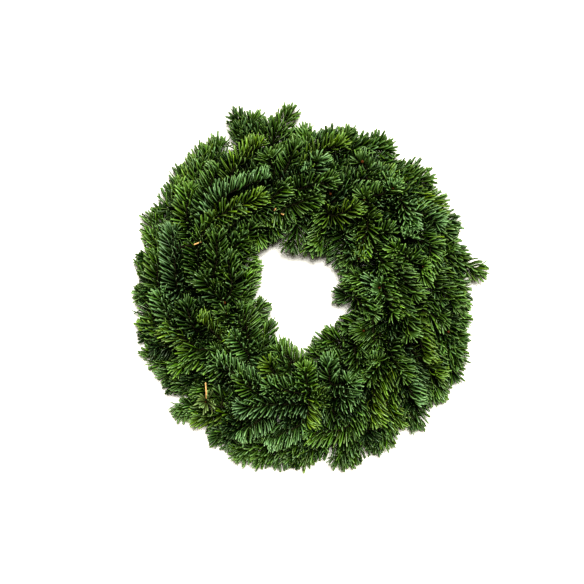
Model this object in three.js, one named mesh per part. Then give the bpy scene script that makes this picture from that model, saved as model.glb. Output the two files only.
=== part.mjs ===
// Fresh evergreen wreath: sprays of noble fir bound with wire to a crimped wire ring. Millimetres.
// It lies on its back on the plane z = 0 and faces +Z, with +Y the top of the wreath.
// Clock angles run clockwise from +Y, as seen from the front. The sprays' tips point clockwise too.
import * as THREE from 'three';

// ---------------------------------------------------------------- driving dimensions

const RING_RADIUS = 152.4; // a 12 inch ring, to the middle of its wire
const RING_WIRE_R = 2.2; // corner radius of the ring's six-sided wire
const STATIONS = 14; // bunches tied round the ring, each with four stems
const CRIMP_LIFT = 2.5; // how far the ring is crimped up off the surface at a tie
const CRIMP_HALF = 12; // half the length of a crimp's raised part
const CRIMP_RAMP = 5; // length of the slope at each end of a crimp

const TWIG_SIDES = 3;
const STEM_R = 2.1; // corner radius of a stem where it is tied
const TIP_R = 1.5; // and of a shoot at its tip
const SLOT_DISTANCE = 4.7; // middle of the ring's wire to the middle of a stem beside it
const BUTT_LENGTH = 15; // stem behind the middle of its tie
const TIE_EXIT = 13; // stem ahead of it that still follows the ring
const FORK_BAND = 3.5; // length of the short band of a stem whose facets a side shoot grows from
const FORK_STEP = 7; // from one such band to the next
const COLLAR = 4; // length over which a side shoot turns away from its stem
const SHOOT_R = 1.8; // corner radius of a shoot at its root
const LEAVE_PULL = 0.4; // how far a stem carries on along the ring, as a share of its reach to the fork
const ARRIVE_PULL = 0.35; // and how far it runs straight into the fork
const FORK_SHARE = 0.5; // where the stem forks, as a share of the way to the shoots

const BINDING_R = 0.5;
const BINDING_TURNS = 2; // at each tie
const BINDING_PITCH = 5; // from one turn to the next

const NEEDLE_LENGTH = 27;
const TIP_NEEDLE_SHARE = 0.7; // needles are shorter towards the tip of a shoot
const NEEDLE_ROOT = 2.4; // length of a needle's root along the shoot
const NEEDLE_ROOT_R = 1.6; // radius that a needle takes up near its root
const NEEDLE_TIP_R = 0.1; // and at its tip
const WHORL_SPACING = 11.5;
const BARE_SHARE = 0.45; // share of the way from the fork to a shoot's base that is bare
const LEAN = 38; // degrees that a needle leans forwards along its shoot
const TIP_LEAN = 66; // and at the tip
const NEEDLE_GAP = 0.35; // least clearance between needles, and from needles to other shoots
const NEEDLE_FOOT = 1.5; // length at a needle's foot that is left out of the clearance
const EDGE_SLACK = 0.3; // an edge of a facet that runs less than this along its shoot is part of a ring
const JITTER = 0.5; // range in radians that a needle's direction is drawn from, each way
const LOWEST = 0.6; // the lowest that a needle's tip lies over the surface
const TRIES = 14; // directions tried at each of a needle's lengths, before it is left out
const LENGTH_SHARES = [1, 0.75, 0.5];
const SEED = 8;

const ROUGHNESS = 0.6;
const WIRE_METALNESS = 0.6;

const GREEN = { rim: 0x2c4418, shoulder: 0x35521d, crest: 0x3d5e22, throat: 0x27401a };
const WIRE_GREEN = 0x24402a;
const BINDING_GREEN = 0x3a4a30;

// ---------------------------------------------------------------- the shoots

// Each shoot is [base x, y, z, tip x, y, z] of its leafy stretch, from the middle of the ring.
// A zone's stems lie beside the ring at the angle `slot`: 0 is straight out, 90 is up. `lead` is how many
// degrees clockwise of a tie the first shoots are that it holds.
const ZONES = {
  rim: {
    slot: 4,
    lead: 15,
    shoots: [
      [10, 200, 30, 9, 222, 25], [20, 211, 24, 66, 217, 17], [68, 204, 28, 122, 210, 21],
      [105, 168, 30, 150, 172, 19], [140, 158, 36, 173, 164, 27], [140, 146, 40, 190, 122, 33],
      [172, 120, 24, 206, 96, 15], [190, 98, 30, 214, 76, 21], [198, 60, 30, 247, 32, 19],
      [205, 22, 24, 221, -16, 15], [195, -30, 30, 218, -55, 19], [203, -62, 22, 209, -97, 15],
      [185, -92, 28, 186, -138, 19], [160, -145, 24, 160, -174, 15], [120, -148, 32, 134, -172, 23],
      [110, -172, 22, 104, -207, 13], [68, -196, 30, 54, -226, 17], [50, -200, 22, 12, -213, 15],
      [20, -207, 30, -14, -221, 19], [-12, -205, 22, -48, -220, 15], [-45, -205, 28, -86, -217, 17],
      [-92, -184, 24, -115, -196, 15], [-108, -164, 32, -140, -169, 23], [-130, -162, 20, -171, -149, 15],
      [-130, -125, 34, -168, -121, 25], [-160, -108, 26, -198, -91, 17], [-190, -86, 22, -211, -79, 15],
      [-196, -56, 26, -216, -40, 17], [-203, -35, 32, -209, 10, 21], [-190, 28, 22, -212, 44, 15],
      [-196, 58, 30, -203, 86, 23], [-186, 86, 22, -195, 117, 15], [-172, 118, 30, -169, 154, 23],
      [-158, 148, 24, -148, 184, 15], [-138, 170, 30, -115, 212, 19], [-58, 210, 22, -92, 244, 15],
      [-32, 214, 28, -12, 252, 17],
    ],
  },
  shoulder: {
    slot: 62,
    lead: 15,
    shoots: [
      [14, 168, 58, 24, 187, 70], [30, 202, 50, 53, 211, 54], [94, 172, 52, 83, 187, 62],
      [96, 122, 62, 87, 137, 76], [112, 142, 64, 122, 156, 74], [135, 138, 62, 150, 100, 74],
      [164, 118, 50, 188, 105, 54], [152, 50, 60, 131, 64, 78], [178, 72, 58, 169, 30, 72],
      [182, 22, 54, 212, -8, 56], [128, 48, 66, 156, 6, 76], [168, -18, 58, 194, -30, 58],
      [160, -38, 64, 170, -82, 68], [134, -4, 70, 149, -48, 78], [172, -92, 58, 188, -106, 56],
      [146, -116, 62, 156, -140, 64], [124, -76, 68, 140, -106, 74], [100, -134, 64, 101, -166, 62],
      [64, -180, 58, 15, -189, 64], [12, -140, 72, 9, -168, 76], [-2, -177, 60, -40, -195, 62],
      [-58, -170, 60, -80, -185, 60], [-35, -148, 70, -80, -153, 70], [-122, -152, 50, -131, -143, 66],
      [-146, -84, 64, -170, -96, 60], [-132, -72, 70, -156, -78, 68], [-152, -64, 60, -183, -46, 62],
      [-178, -38, 58, -194, 2, 62], [-172, 18, 66, -177, 88, 68], [-196, 12, 52, -200, 52, 54],
      [-158, 106, 62, -156, 145, 64], [-132, 138, 62, -118, 172, 60], [-98, 168, 54, -62, 211, 50],
      [-112, 134, 70, -52, 163, 72], [-38, 168, 58, -43, 191, 68], [-22, 176, 54, -8, 206, 56],
    ],
  },
  crest: {
    slot: 118,
    lead: 15,
    shoots: [
      [2, 150, 76, 38, 158, 84], [-16, 126, 76, 16, 138, 84], [44, 112, 72, 72, 122, 80],
      [92, 100, 70, 81, 64, 78], [96, 86, 62, 120, 90, 74], [98, 72, 58, 113, 46, 72],
      [100, -28, 66, 106, -84, 72], [114, 12, 68, 127, -20, 78], [74, 4, 54, 95, -20, 66],
      [110, -92, 66, 96, -108, 76], [76, -66, 56, 80, -100, 70], [42, -120, 66, 38, -92, 70],
      [58, -138, 66, 67, -119, 80], [10, -128, 66, 6, -102, 78], [4, -134, 60, -42, -124, 76],
      [-34, -112, 62, -43, -94, 72], [-62, -132, 66, -82, -112, 72], [-76, -116, 66, -112, -92, 74],
      [-72, -82, 58, -90, -58, 72], [-112, -58, 70, -136, -34, 78], [-98, -46, 62, -103, -24, 80],
      [-105, -14, 70, -133, 22, 80], [-148, -42, 66, -158, -14, 70], [-98, 5, 64, -100, 52, 70],
      [-118, 38, 72, -116, 82, 76], [-142, 72, 68, -124, 104, 70], [-110, 84, 66, -80, 112, 74],
      [-118, 106, 74, -60, 136, 80], [-55, 124, 68, -25, 150, 76], [-88, 72, 52, -68, 98, 60],
    ],
  },
  throat: {
    slot: 176,
    lead: 8,
    shoots: [
      [-46, 112, 48, -36, 84, 46], [-40, 128, 62, -22, 111, 62], [-8, 112, 48, -18, 80, 40],
      [34, 108, 54, 25, 80, 56], [58, 82, 36, 49, 54, 28], [110, 8, 58, 74, 26, 58],
      [74, 2, 28, 56, 2, 22], [104, -26, 50, 66, -42, 48], [54, -70, 32, 48, -52, 30],
      [58, -62, 40, 30, -60, 42], [44, -90, 46, 22, -79, 40], [-8, -88, 46, -27, -70, 40],
      [-58, -76, 40, -50, -40, 32], [-78, -42, 42, -66, -10, 32], [-74, -54, 58, -79, -20, 56],
      [-88, -12, 48, -78, 28, 46], [-86, 22, 30, -72, 44, 26], [-92, 50, 40, -70, 64, 34],
      [-68, 92, 46, -52, 70, 40],
    ],
  },
};

// ---------------------------------------------------------------- helpers

const TURN = 2 * Math.PI;
const rad = THREE.MathUtils.degToRad;
const vec = (x, y, z) => new THREE.Vector3(x, y, z);

// The point at a clock angle in radians and a distance from the wreath's axis.
const clockPoint = (angle, radius, z) => vec(radius * Math.sin(angle), radius * Math.cos(angle), z);

// The clock angle of a point, from 0 to a whole turn.
const clockAngle = (p) => (Math.atan2(p.x, p.y) + TURN) % TURN;

function seededRandom(seed) {
  let state = seed;
  return () => {
    state = (state + 0x6d2b79f5) | 0;
    let t = Math.imul(state ^ (state >>> 15), 1 | state);
    t = (t + Math.imul(t ^ (t >>> 7), 61 | t)) ^ t;
    return ((t ^ (t >>> 14)) >>> 0) / 4294967296;
  };
}

// The corners of a polygon round `centre`, square to `along`, of which the first is towards `side`.
function section(centre, along, side, radius, sides) {
  const u = side.clone().addScaledVector(along, -side.dot(along)).normalize();
  const v = along.clone().cross(u);
  return Array.from({ length: sides }, (_, i) => {
    const a = (TURN * i) / sides;
    return centre.clone().addScaledVector(u, radius * Math.cos(a)).addScaledVector(v, radius * Math.sin(a));
  });
}

// The triangles of the surface through a row of sections. Where growth(i) gives a function, it turns each
// facet of the band after section i into the triangles of what grows there, or gives null for none.
function surface(sections, growth = () => null) {
  const triangles = [];
  for (let i = 0; i + 1 < sections.length; i++) {
    const [near, far] = [sections[i], sections[i + 1]];
    const grow = growth(i) ?? (() => null);
    for (let j = 0; j < near.length; j++) {
      const k = (j + 1) % near.length;
      for (const facet of [[near[j], near[k], far[k]], [near[j], far[k], far[j]]]) {
        triangles.push(...(grow(facet) ?? [facet]));
      }
    }
  }
  return triangles;
}

const spike = (facet, apex) => facet.map((corner, c) => [corner, facet[(c + 1) % 3], apex]);

const middleOf = (points) => points.reduce((sum, p) => sum.add(p), vec(0, 0, 0)).divideScalar(points.length);

function named(name, triangles, colour, metalness = 0) {
  const geometry = new THREE.BufferGeometry().setFromPoints(triangles.flat());
  geometry.computeVertexNormals();
  const material = new THREE.MeshStandardMaterial({
    color: colour,
    roughness: ROUGHNESS,
    metalness,
    flatShading: true,
  });
  const mesh = new THREE.Mesh(geometry, material);
  mesh.name = name;
  return mesh;
}

// ---------------------------------------------------------------- ring and binding

const stationAngle = (k) => (TURN * k) / STATIONS;
const RING_LOW = RING_WIRE_R * Math.sin(Math.PI / 3); // the wire's flat underside then lies on z = 0
const RING_HIGH = RING_LOW + CRIMP_LIFT;

// A point beside the ring: `ahead` mm clockwise of tie k, and (out, up) from the middle of the raised wire.
const besideRing = (k, ahead, out, up) =>
  clockPoint(stationAngle(k) + ahead / RING_RADIUS, RING_RADIUS + out, RING_HIGH + up);

const ringTangent = (k, ahead) => {
  const a = stationAngle(k) + ahead / RING_RADIUS;
  return vec(Math.cos(a), -Math.sin(a), 0);
};

const UP = vec(0, 0, 1);

function ringWire() {
  const sections = [];
  for (let k = 0; k < STATIONS; k++) {
    const ends = [-CRIMP_HALF - CRIMP_RAMP, -CRIMP_HALF, CRIMP_HALF, CRIMP_HALF + CRIMP_RAMP];
    ends.forEach((ahead, i) => {
      const up = i === 0 || i === 3 ? RING_LOW - RING_HIGH : 0;
      const out = ringTangent(k, ahead).cross(UP);
      sections.push(section(besideRing(k, ahead, 0, up), ringTangent(k, ahead), out, RING_WIRE_R, 6));
    });
  }
  return named('ring_wire', surface([...sections, sections[0]]), WIRE_GREEN, WIRE_METALNESS);
}

// One turn of the binding, round the wire and its four stems, as (out, up) from the middle of the wire.
const BINDING_TURN = [[6.6, -2.9], [-6.6, -2.9], [-8.2, 1.8], [-4.9, 7.1], [4.9, 7.1], [8.2, 1.8]];

// One wire round the whole ring: its turns at each tie, and a straight run outside the ring to the next.
function bindingWire() {
  const points = [];
  const steps = BINDING_TURNS * BINDING_TURN.length;
  for (let k = 0; k < STATIONS; k++) {
    for (let i = 0; i <= steps; i++) {
      const [out, up] = BINDING_TURN[i % BINDING_TURN.length];
      const ahead = BINDING_PITCH * (i / BINDING_TURN.length - BINDING_TURNS / 2);
      points.push(besideRing(k, ahead, out, up));
    }
  }
  const sections = points.map((p, i) => {
    const before = points[(i + points.length - 1) % points.length];
    const after = points[(i + 1) % points.length];
    const along = after.clone().sub(before).normalize();
    const fromRing = p.clone().sub(clockPoint(clockAngle(p), RING_RADIUS, RING_HIGH));
    return section(p, along, fromRing, BINDING_R, 3);
  });
  return named('binding_wire', surface([...sections, sections[0]]), BINDING_GREEN, WIRE_METALNESS);
}

// ---------------------------------------------------------------- sprays

// The sprays of a zone: each tie holds the shoots whose bases lie in the stretch that follows it.
function spraysOf(zone) {
  const sprays = Array.from({ length: STATIONS }, (_, k) => ({ zone, k, shoots: [] }));
  const { shoots, lead } = ZONES[zone];
  for (const [bx, by, bz, tx, ty, tz] of shoots) {
    const base = vec(bx, by, bz);
    const share = ((clockAngle(base) - rad(lead) + TURN) % TURN) / TURN;
    sprays[Math.floor(share * STATIONS)].shoots.push({ base, tip: vec(tx, ty, tz) });
  }
  return sprays.filter((spray) => spray.shoots.length);
}

// A twig along a curve: its sections at the given lengths, carried on from a first corner's side with
// no more turn than `twist` radians at every second one.
function twig(curve, stops, side, [rootR, tipR], twist) {
  const length = curve.getLength();
  let corner = side;
  return stops.map((stop, i) => {
    const u = THREE.MathUtils.clamp(stop / length, 0, 1);
    const along = curve.getTangentAt(u);
    corner = corner.clone().addScaledVector(along, -corner.dot(along)).normalize();
    if (i % 2 === 0) corner.applyAxisAngle(along, twist);
    return section(curve.getPointAt(u), along, corner, THREE.MathUtils.lerp(rootR, tipR, u), TWIG_SIDES);
  });
}

// The stem of a spray: two sections in the tie, then a bend that ends at its last shoot. The other
// shoots leave it one after another over its last stretch, those that turn away the most first.
function layOut(spray) {
  const slot = rad(ZONES[spray.zone].slot);
  const [out, up] = [SLOT_DISTANCE * Math.cos(slot), SLOT_DISTANCE * Math.sin(slot)];
  const exit = besideRing(spray.k, TIE_EXIT, out, up);
  const middle = middleOf(spray.shoots.map((shoot) => shoot.base));
  const end = exit.clone().lerp(middle, FORK_SHARE);
  const onwards = middle.clone().sub(end).normalize();
  const reach = exit.distanceTo(end);
  const bend = new THREE.CubicBezierCurve3(
    exit,
    exit.clone().addScaledVector(ringTangent(spray.k, TIE_EXIT), reach * LEAVE_PULL),
    end.clone().addScaledVector(onwards, -reach * ARRIVE_PULL),
    end,
  );
  const turnOf = (shoot) => shoot.base.clone().sub(end).angleTo(onwards);
  spray.shoots.sort((a, b) => turnOf(b) - turnOf(a));

  const length = bend.getLength();
  const forks = spray.shoots.slice(1).map((_, i) => length - FORK_STEP * (spray.shoots.length - 1 - i));
  const clear = forks.length ? forks[0] : length;
  const bends = [0, clear / 2];
  const stops = [...bends, ...forks.flatMap((fork) => [fork, fork + FORK_BAND]), length];
  const tie = [-BUTT_LENGTH, 0].map((ahead) =>
    section(besideRing(spray.k, ahead, out, up), ringTangent(spray.k, ahead), UP, STEM_R, TWIG_SIDES));
  spray.sections = [...tie, ...twig(bend, stops, UP, [STEM_R, STEM_R], 0)];

  // Each side shoot grows from the facet of its band that faces it best.
  const firstFork = tie.length + bends.length;
  spray.roots = forks.map((_, i) => {
    const band = firstFork + 2 * i;
    const facets = surface(spray.sections.slice(band, band + 2));
    const facing = (facet) => {
      const towards = spray.shoots[i].base.clone().sub(middleOf(facet)).normalize();
      return new THREE.Triangle(...facet).getNormal(vec(0, 0, 0)).dot(towards);
    };
    return { band, facet: facets.reduce((best, facet) => (facing(facet) > facing(best) ? facet : best)) };
  });
  spray.roots.push({ facet: spray.sections[spray.sections.length - 1] });
  spray.shoots.forEach((shoot, i) => routeShoot(shoot, spray.roots[i].facet));
}

function routeShoot(shoot, facet) {
  const foot = middleOf(facet);
  const normal = new THREE.Triangle(...facet).getNormal(vec(0, 0, 0));
  const towards = shoot.base.clone().sub(foot).normalize();
  const collar = foot.clone().addScaledVector(normal.clone().add(towards).normalize(), COLLAR);
  shoot.facet = facet;
  shoot.curve = new THREE.CatmullRomCurve3([foot, collar, shoot.base, shoot.tip], false, 'centripetal');
  shoot.length = shoot.curve.getLength();
}

const random = seededRandom(SEED);

// Capsules that new needles have to clear: the stems and shoots, and then each needle that is placed.
const CELL = 32;
const cells = new Map();
const cellsOf = ({ from, to }) => {
  const keys = new Set();
  for (let t = 0; t <= 1; t += 0.25) {
    const p = from.clone().lerp(to, t).divideScalar(CELL).floor();
    keys.add(`${p.x},${p.y},${p.z}`);
  }
  return keys;
};

function block(capsule) {
  for (const key of cellsOf(capsule)) {
    if (!cells.has(key)) cells.set(key, []);
    cells.get(key).push(capsule);
  }
}

// The gap between two capsules whose radii run from r0 at `from` to r1 at `to`.
function gapBetween(a, b) {
  const [da, db] = [a.to.clone().sub(a.from), b.to.clone().sub(b.from)];
  const w = a.from.clone().sub(b.from);
  const [aa, bb, ab, aw, bw] = [da.dot(da), db.dot(db), da.dot(db), da.dot(w), db.dot(w)];
  const cross = aa * bb - ab * ab;
  let s = cross > 1e-9 ? THREE.MathUtils.clamp((ab * bw - bb * aw) / cross, 0, 1) : 0;
  const t = THREE.MathUtils.clamp((ab * s + bw) / bb, 0, 1);
  s = THREE.MathUtils.clamp((ab * t - aw) / aa, 0, 1);
  const apart = a.from.clone().addScaledVector(da, s).distanceTo(b.from.clone().addScaledVector(db, t));
  return apart - THREE.MathUtils.lerp(a.r0, a.r1, s) - THREE.MathUtils.lerp(b.r0, b.r1, t);
}

// Whether a capsule clears every other one nearby, apart from those of the shoot that carries it.
function isClear(capsule, carrier) {
  const base = capsule.from.clone().divideScalar(CELL).floor();
  const seen = new Set();
  for (let x = -1; x <= 1; x++) {
    for (let y = -1; y <= 1; y++) {
      for (let z = -1; z <= 1; z++) {
        for (const other of cells.get(`${base.x + x},${base.y + y},${base.z + z}`) ?? []) {
          if (seen.has(other) || other.carrier === carrier) continue;
          seen.add(other);
          if (gapBetween(capsule, other) < NEEDLE_GAP) return false;
        }
      }
    }
  }
  return true;
}

// Whether a needle keeps to its own side of the needles raised from the facets beside its own. The
// sides are planes through the facet's sloping and long edges, and along the whorl's mean direction.
function keepsItsPlace(facet, tip, { axis, along, lean }) {
  return facet.every((corner, i) => {
    const next = facet[(i + 1) % 3];
    const edge = next.clone().sub(corner);
    if (Math.abs(edge.dot(along)) < EDGE_SLACK) return true;
    const mean = corner.clone().add(next).divideScalar(2).sub(axis);
    mean.addScaledVector(along, -mean.dot(along)).normalize().multiplyScalar(Math.cos(lean));
    mean.addScaledVector(along, Math.sin(lean));
    return mean.cross(edge).normalize().dot(tip.clone().sub(corner)) > NEEDLE_GAP;
  });
}

// The tip of a needle raised from a facet, or null where every direction and length tried is blocked.
function needleTip(facet, whorl, shoot) {
  const { axis, along, lean, length } = whorl;
  const root = facet[0].clone().add(facet[1]).add(facet[2]).divideScalar(3);
  const outwards = root.clone().sub(axis);
  outwards.addScaledVector(along, -outwards.dot(along)).normalize();
  for (const share of LENGTH_SHARES) {
    for (let i = 0; i < TRIES; i++) {
      const forwards = lean + JITTER * (random() - 0.5);
      const direction = outwards.clone().applyAxisAngle(along, JITTER * (random() - 0.5));
      direction.multiplyScalar(Math.cos(forwards)).addScaledVector(along, Math.sin(forwards));
      const tip = root.clone().addScaledVector(direction, length * share);
      const from = root.clone().addScaledVector(direction, NEEDLE_FOOT);
      const needle = { from, to: tip, r0: NEEDLE_ROOT_R, r1: NEEDLE_TIP_R };
      if (tip.z < LOWEST || !keepsItsPlace(facet, tip, whorl) || !isClear(needle, shoot)) continue;
      block(needle);
      return tip;
    }
  }
  return null;
}

// A shoot from the facet that it grows from to its tip, with whorls of needles over its leafy stretch.
function leafyShoot(shoot) {
  const { curve, length, facet } = shoot;
  const bare = BARE_SHARE * facet[0].distanceTo(shoot.base);
  const whorls = Math.max(2, Math.round((length - bare) / WHORL_SPACING));
  const step = (length - bare - NEEDLE_ROOT) / (whorls - 1);
  const starts = Array.from({ length: whorls }, (_, i) => bare + i * step);
  const stops = [COLLAR, (COLLAR + bare) / 2, ...starts.flatMap((start) => [start, start + NEEDLE_ROOT])];
  const side = facet[0].clone().sub(middleOf(facet));
  const sections = [facet, ...twig(curve, stops, side, [SHOOT_R, TIP_R], -Math.PI / TWIG_SIDES)];
  const needles = (band) => {
    if (band < 3 || band % 2 === 0) return null;
    const order = (band - 3) / 2;
    const share = order / (whorls - 1);
    const u = (starts[order] + NEEDLE_ROOT / 2) / length;
    const whorl = {
      axis: curve.getPointAt(u),
      along: curve.getTangentAt(u),
      lean: rad(THREE.MathUtils.lerp(LEAN, TIP_LEAN, share ** 3)),
      length: NEEDLE_LENGTH * THREE.MathUtils.lerp(1, TIP_NEEDLE_SHARE, share ** 2),
    };
    return (root) => {
      const tip = needleTip(root, whorl, shoot);
      return tip && spike(root, tip);
    };
  };
  return [...surface(sections, needles), sections[sections.length - 1]];
}

// The whole spray: its stem from the cut end, with a shoot on a facet of each band that forks.
function sprayMesh(spray) {
  const grown = (band) => {
    const order = spray.roots.findIndex((root) => root.band === band);
    if (order < 0) return null;
    const isRoot = (facet) => middleOf(facet).distanceTo(middleOf(spray.roots[order].facet)) < EDGE_SLACK;
    return (facet) => (isRoot(facet) ? leafyShoot(spray.shoots[order]) : null);
  };
  const cutEnd = [...spray.sections[0]].reverse();
  const last = leafyShoot(spray.shoots[spray.shoots.length - 1]);
  const name = `${spray.zone}_spray_${String(spray.k + 1).padStart(2, '0')}`;
  return named(name, [cutEnd, ...surface(spray.sections, grown), ...last], GREEN[spray.zone]);
}

function blockAlong(points, carrier) {
  points.slice(1).forEach((to, i) => block({ from: points[i], to, r0: STEM_R, r1: STEM_R, carrier }));
}

const sprays = Object.keys(ZONES).flatMap(spraysOf);
sprays.forEach(layOut);
for (const spray of sprays) {
  blockAlong(spray.sections.map(middleOf), spray);
  for (const shoot of spray.shoots) blockAlong(shoot.curve.getSpacedPoints(8), shoot);
}

// ---------------------------------------------------------------- the wreath

const wreath = new THREE.Group();
wreath.add(ringWire(), bindingWire(), ...sprays.map(sprayMesh));

// The origin is the middle of the wreath's outline, on the surface that it lies on.
const outline = new THREE.Box3().setFromObject(wreath);
const middle = outline.getCenter(vec(0, 0, 0));
wreath.position.set(-middle.x, -middle.y, 0);

export default wreath;
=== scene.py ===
"""A fresh noble fir wreath over its CAD frame: needles, twigs, bark, buds, ring and binding.

Lengths are in mm from the middle of the ring, with +Y the top of the wreath and z = 0 the surface
that it lies on, until a mesh is made in metres in the row frame. Clock angles run clockwise from
+Y. Angles are in radians, apart from those that are called degrees.
"""

import math

import bpy
import numpy as np
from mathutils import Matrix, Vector


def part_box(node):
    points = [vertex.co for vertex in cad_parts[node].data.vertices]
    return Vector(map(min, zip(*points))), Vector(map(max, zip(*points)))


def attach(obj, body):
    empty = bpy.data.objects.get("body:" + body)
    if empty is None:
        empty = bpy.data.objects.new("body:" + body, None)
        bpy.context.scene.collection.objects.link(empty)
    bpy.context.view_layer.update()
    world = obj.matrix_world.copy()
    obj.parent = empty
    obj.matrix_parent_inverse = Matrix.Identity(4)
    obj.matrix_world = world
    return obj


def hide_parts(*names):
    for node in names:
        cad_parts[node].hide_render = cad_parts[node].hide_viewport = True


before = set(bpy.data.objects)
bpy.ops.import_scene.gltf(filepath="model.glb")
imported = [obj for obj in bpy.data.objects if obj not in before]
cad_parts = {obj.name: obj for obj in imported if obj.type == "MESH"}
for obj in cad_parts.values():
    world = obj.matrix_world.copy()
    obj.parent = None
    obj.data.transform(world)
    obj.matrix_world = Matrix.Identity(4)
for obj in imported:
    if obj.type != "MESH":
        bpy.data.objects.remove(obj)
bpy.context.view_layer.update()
scene = bpy.context.scene

# ---- dimensions of the CAD source

RING_RADIUS = 152.4
RING_LOW = 1.905  # the middle of the ring's wire over the surface, between ties
CRIMP_LIFT = 2.5  # and how much higher it is at a tie
RING_HIGH = RING_LOW + CRIMP_LIFT
CRIMP_HALF = 12  # half of a raised stretch
CRIMP_RAMP = 5  # the slope at either end of it
STATIONS = 14
SLOT_DISTANCE = 4.7  # of a stem from the ring's wire, from middle to middle
BUTT_LENGTH = 15  # of a stem before the middle of its tie
TIE_EXIT = 13  # and after it, where the stem leaves the ring
LEAVE_PULL = 0.4  # how far the stem's curve is held to its first and to its last direction
ARRIVE_PULL = 0.35
FORK_SHARE = 0.5  # where the stem ends, on the way to the middle of its shoots' bases
FORK_STEP = 7  # from shoot to shoot along the stem
FORK_BAND = 3.5  # half of it moves each shoot but the last onwards
COLLAR = 4  # of a shoot, before it turns to its base
BINDING_TURNS = 2
BINDING_PITCH = 5
# One turn of the binding: outwards and up from the middle of the ring's wire.
BINDING_TURN = [[6.6, -2.9], [-6.6, -2.9], [-8.2, 1.8], [-4.9, 7.1], [4.9, 7.1], [8.2, 1.8]]

# A zone's stems lie beside the ring at the angle in SLOTS, and a tie holds the shoots that start in
# the stretch after the angle in LEADS. Both are in degrees.
SLOTS = {"rim": 4, "shoulder": 62, "crest": 118, "throat": 176}
LEADS = {"rim": 15, "shoulder": 15, "crest": 15, "throat": 8}

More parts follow.
